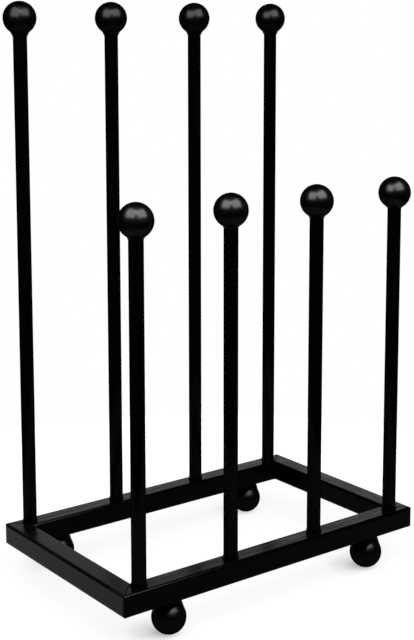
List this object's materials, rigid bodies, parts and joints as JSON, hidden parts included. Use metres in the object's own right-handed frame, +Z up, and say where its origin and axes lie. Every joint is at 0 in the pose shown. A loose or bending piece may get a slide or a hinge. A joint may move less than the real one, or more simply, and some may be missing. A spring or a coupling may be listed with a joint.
{
  "type": "boot rack",
  "caption": "Free-standing boot rack: a rectangular welded tube frame on ball feet, with a short row and a tall row of upright round posts that end in balls to hang boots upside down.",
  "frame": {"origin": "on the floor, under the middle of the frame", "axes": "+X along the long rails, to the right when the short row is in front; +Y from the short row to the tall row; +Z up"},
  "size_m": [0.42, 0.267, 0.6711],
  "materials": {
    "powder_coat": "satin black powder coat on welded mild steel"
  },
  "bodies": {
    "root": {"front_rail": "powder_coat", "back_rail": "powder_coat", "left_rail": "powder_coat", "right_rail": "powder_coat", "front_left_corner_weld": "powder_coat", "front_right_corner_weld": "powder_coat", "back_left_corner_weld": "powder_coat", "back_right_corner_weld": "powder_coat", "short_post_1": "powder_coat", "short_post_2": "powder_coat", "short_post_3": "powder_coat", "short_post_4": "powder_coat", "short_ball_1": "powder_coat", "short_ball_2": "powder_coat", "short_ball_3": "powder_coat", "short_ball_4": "powder_coat", "short_post_weld_1": "powder_coat", "short_post_weld_2": "powder_coat", "short_post_weld_3": "powder_coat", "short_post_weld_4": "powder_coat", "short_ball_weld_1": "powder_coat", "short_ball_weld_2": "powder_coat", "short_ball_weld_3": "powder_coat", "short_ball_weld_4": "powder_coat", "tall_post_1": "powder_coat", "tall_post_2": "powder_coat", "tall_post_3": "powder_coat", "tall_post_4": "powder_coat", "tall_ball_1": "powder_coat", "tall_ball_2": "powder_coat", "tall_ball_3": "powder_coat", "tall_ball_4": "powder_coat", "tall_post_weld_1": "powder_coat", "tall_post_weld_2": "powder_coat", "tall_post_weld_3": "powder_coat", "tall_post_weld_4": "powder_coat", "tall_ball_weld_1": "powder_coat", "tall_ball_weld_2": "powder_coat", "tall_ball_weld_3": "powder_coat", "tall_ball_weld_4": "powder_coat", "front_left_foot": "powder_coat", "front_right_foot": "powder_coat", "back_left_foot": "powder_coat", "back_right_foot": "powder_coat", "front_left_foot_weld": "powder_coat", "front_right_foot_weld": "powder_coat", "back_left_foot_weld": "powder_coat", "back_right_foot_weld": "powder_coat"}
  },
  "joints": []
}
